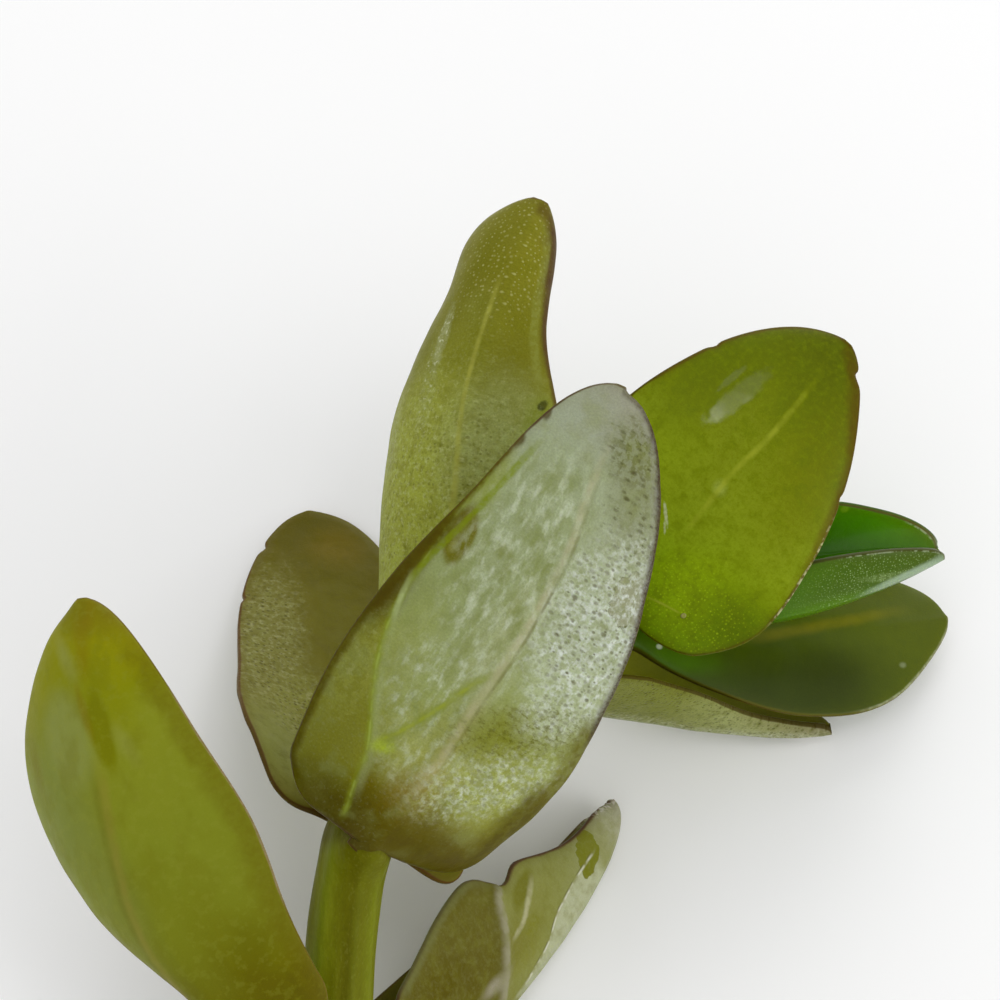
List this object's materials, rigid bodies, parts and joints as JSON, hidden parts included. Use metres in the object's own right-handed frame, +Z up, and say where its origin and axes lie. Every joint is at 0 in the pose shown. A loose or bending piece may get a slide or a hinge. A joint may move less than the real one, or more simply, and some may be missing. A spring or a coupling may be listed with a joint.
{
  "type": "aquarium plant cutting",
  "caption": "Cut shoot of lemon bacopa lying down: a fleshy ribbed stem with opposite pairs of oval cupped leaves that get smaller and greener towards the tip bud.",
  "frame": {"origin": "middle of the footprint, on the surface that the cutting lies on", "axes": "+Z up from that surface, +Y along the stem from its cut end towards the leaves, +X to the side that the young tip bends to"},
  "size_m": [0.0432, 0.0523, 0.0223],
  "materials": {
    "stem": "satin",
    "leaf_old": "satin",
    "leaf_mid": "gloss",
    "leaf_young": "gloss"
  },
  "bodies": {
    "root": {"stem": "stem", "leaf_a_left": "leaf_old", "leaf_a_right": "leaf_old", "leaf_b_front": "leaf_old", "leaf_b_back": "leaf_old", "leaf_c_top": "leaf_old", "leaf_c_right": "leaf_old", "leaf_d_upper": "leaf_mid", "leaf_d_lower": "leaf_mid", "leaf_e_near": "leaf_young", "leaf_e_far": "leaf_young", "tip_bud": "leaf_young"}
  },
  "joints": []
}
